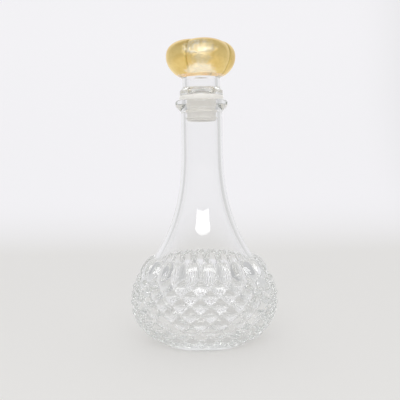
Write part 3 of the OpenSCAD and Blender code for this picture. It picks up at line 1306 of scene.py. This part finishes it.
@dataclass
class Seal:
    """The plastic seal: flange, sleeve and fins. Lengths are in metres."""

    finish: SealPlastic
    mouth_z: float
    bore_d: float
    tenon_d: float
    flange_d: float = 37.2 * MM
    flange_h: float = 4 * MM
    sleeve_wall: float = 1.25 * MM
    sleeve_l: float = 17 * MM
    clearance: float = 0.05 * MM
    fins: int = 3
    fin_clearance: float = 0.1 * MM
    fin_tip_t: float = 0.6 * MM
    fin_root_t: float = 1.6 * MM
    fin_first_h: float = 2.2 * MM
    fin_last_drop: float = 4 * MM
    edge_round: float = 0.4 * MM
    columns: int = 192

    def line(self) -> Line:
        """Outline of the seal's outside, from the lower end of its hole round to the top."""
        hole_r = self.tenon_d / 2 + self.clearance
        sleeve_r = hole_r + self.sleeve_wall
        end_z = self.mouth_z - self.sleeve_l
        top_z = self.mouth_z + self.flange_h
        fin_r = self.bore_d / 2 - self.fin_clearance
        pitch = (self.sleeve_l - self.fin_first_h - self.fin_last_drop) / (self.fins - 1)
        small = self.fin_tip_t / 3
        corners = [(hole_r, top_z - self.edge_round, 0.0), (hole_r, end_z, self.edge_round)]
        corners.append((sleeve_r, end_z, self.edge_round))
        for k in range(self.fins):
            z = end_z + self.fin_first_h + k * pitch
            corners.append((sleeve_r, z - self.fin_root_t / 2, small))
            corners.append((fin_r, z - self.fin_tip_t / 2, small))
            corners.append((fin_r, z + self.fin_tip_t / 2, small))
            corners.append((sleeve_r, z + self.fin_root_t / 2, small))
        corners.append((sleeve_r, self.mouth_z, small))
        corners.append((self.flange_d / 2, self.mouth_z, self.edge_round))
        corners.append((self.flange_d / 2, top_z, self.edge_round))
        corners.append((hole_r, top_z, self.edge_round / 2))
        corners.append((hole_r, top_z - self.edge_round, 0.0))
        return filleted(corners)

    def build(self) -> bpy.types.Object:
        """Models the seal as one closed mesh.

        Returns:
            The dressed piece.
        """
        parts = [Bench.revolve("seal", self.line(), 0.0, self.columns)]
        seal = Bench.join("mouth_seal", parts)
        Bench.smooth(seal, 40.0)
        seal.data.materials.clear()
        seal.data.materials.append(self.finish.material())
        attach(seal, Body.SEAL.value)
        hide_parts(Node.STOPPER_SEAL.value)
        return seal


# The studio


@dataclass
class Studio:
    """Backdrop, lights and camera, fitted to the photograph. Lengths are in metres."""

    backdrop: PaleBackdrop
    image_px: float = 400.0
    focal_px: float = 652.0
    camera_distance: float = 0.555
    camera_height: float = 0.150
    horizon_px: float = 164.7
    axis_px: float = 202.8
    roll: float = 0.85
    sensor_mm: float = 36.0
    floor_half: float = 1.6
    sweep_back: float = 1.0
    sweep_r: float = 0.45
    wall_h: float = 1.6
    overhead_strength: float = 0.5
    level_strength: float = 0.6
    dull_below: float = 0.05
    bright_above: float = 0.6
    bounces: int = 40

    def build_backdrop(self) -> bpy.types.Object:
        """Models the floor and the wall as one sheet with a curved sweep between them."""
        Bench.clear()
        line = [(-self.floor_half, 0.0)]
        line += arc((self.sweep_back - self.sweep_r, self.sweep_r), self.sweep_r, -90.0, 0.0, 16)
        line.append((self.sweep_back, self.wall_h))
        sheet = Bench.trace("backdrop", line, math.pi / 2)
        Bench.open(sheet)
        bpy.ops.transform.translate(value=(-self.floor_half, 0, 0))
        bpy.ops.mesh.extrude_region_move(
            TRANSFORM_OT_translate={"value": (2 * self.floor_half, 0, 0)}
        )
        Bench.clear()
        Bench.smooth(sheet, 60.0)
        sheet.data.materials.clear()
        sheet.data.materials.append(self.backdrop.material())
        return sheet

    def add_light(
        self,
        name: str,
        azimuth: float,
        elevation: float,
        distance: float,
        size: Point,
        power: float,
        aim: Vector,
    ) -> None:
        """Adds a soft rectangular light that faces a point.

        Args:
            name: Name of the light.
            azimuth: Degrees round from the camera's side, positive to the right.
            elevation: Degrees above the level of the point.
            distance: Distance from the point.
            size: Width and height.
            power: Watts.
            aim: The point.
        """
        data = bpy.data.lights.new(name, "AREA")
        data.shape = "RECTANGLE"
        data.size, data.size_y = size
        data.energy = power
        light = bpy.data.objects.new(name, data)
        bpy.context.scene.collection.objects.link(light)
        side, up = math.radians(azimuth), math.radians(elevation)
        away = Vector((math.sin(side) * math.cos(up), -math.cos(side) * math.cos(up), math.sin(up)))
        light.location = aim + distance * away
        light.rotation_euler = away.to_track_quat("Z", "Y").to_euler()

    def build_world(self) -> None:
        """Gives the room its white light, bright overhead and duller at the level of the table."""
        world = bpy.data.worlds.new("white_room")
        bpy.context.scene.world = world
        world.use_nodes = True
        tree = world.node_tree
        background = tree.nodes["Background"]
        background.inputs["Color"].default_value = (0.98, 0.985, 1.0, 1.0)
        place = tree.nodes.new("ShaderNodeTexCoord")
        axes = tree.nodes.new("ShaderNodeSeparateXYZ")
        ramp = tree.nodes.new("ShaderNodeMapRange")
        ramp.interpolation_type = "SMOOTHSTEP"
        ramp.inputs["From Min"].default_value = self.dull_below
        ramp.inputs["From Max"].default_value = self.bright_above
        ramp.inputs["To Min"].default_value = self.level_strength
        ramp.inputs["To Max"].default_value = self.overhead_strength
        tree.links.new(place.outputs["Generated"], axes.inputs[0])
        tree.links.new(axes.outputs["Z"], ramp.inputs["Value"])
        tree.links.new(ramp.outputs["Result"], background.inputs["Strength"])

    def build_camera(self) -> None:
        """Adds the camera at the photograph's place, with its small roll."""
        data = bpy.data.cameras.new("camera")
        data.sensor_width = self.sensor_mm
        data.lens = self.focal_px / self.image_px * self.sensor_mm
        data.clip_start = 0.01
        camera = bpy.data.objects.new("camera", data)
        bpy.context.scene.collection.objects.link(camera)
        pitch = math.atan((self.image_px / 2 - self.horizon_px) / self.focal_px)
        pan = math.atan((self.axis_px - self.image_px / 2) / self.focal_px)
        turn = Matrix.Rotation(pan, 4, "Z") @ Matrix.Rotation(math.pi / 2 - pitch, 4, "X")
        roll = Matrix.Rotation(math.radians(-self.roll), 4, "Z")
        place = Matrix.Translation((0, -self.camera_distance, self.camera_height))
        camera.matrix_world = place @ turn @ roll
        bpy.context.scene.camera = camera

    def build(self) -> None:
        """Sets up the whole studio."""
        self.build_backdrop()
        aim = Vector((0, 0, 0.105))
        self.add_light("key_softbox", -1.0, 33.0, 1.2, (1.0, 0.27), 5.0, aim)
        self.build_world()
        self.build_camera()
        view = bpy.context.scene.view_settings
        view.view_transform = "Standard"
        view.look = "None"
        cycles = bpy.context.scene.cycles
        cycles.max_bounces = self.bounces
        cycles.glossy_bounces = self.bounces
        cycles.transmission_bounces = self.bounces


def main() -> None:
    """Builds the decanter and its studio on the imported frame."""
    logging.basicConfig(level=logging.INFO, format="%(name)s: %(message)s")
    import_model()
    glass = ClearGlass()
    bottle = Bottle(finish=glass)
    stopper = Stopper(finish=glass, gilding=GoldFilm(), mouth_z=bottle.mouth_z)
    seal = Seal(
        finish=SealPlastic(),
        mouth_z=bottle.mouth_z,
        bore_d=bottle.bore_d,
        tenon_d=stopper.tenon_d,
    )
    for piece in (bottle.build(), stopper.build(), stopper.build_film(), seal.build()):
        LOG.info("%s: %s", piece.name, Bench.describe(piece))
    Studio(backdrop=PaleBackdrop()).build()


if __name__ == "__main__":
    main()
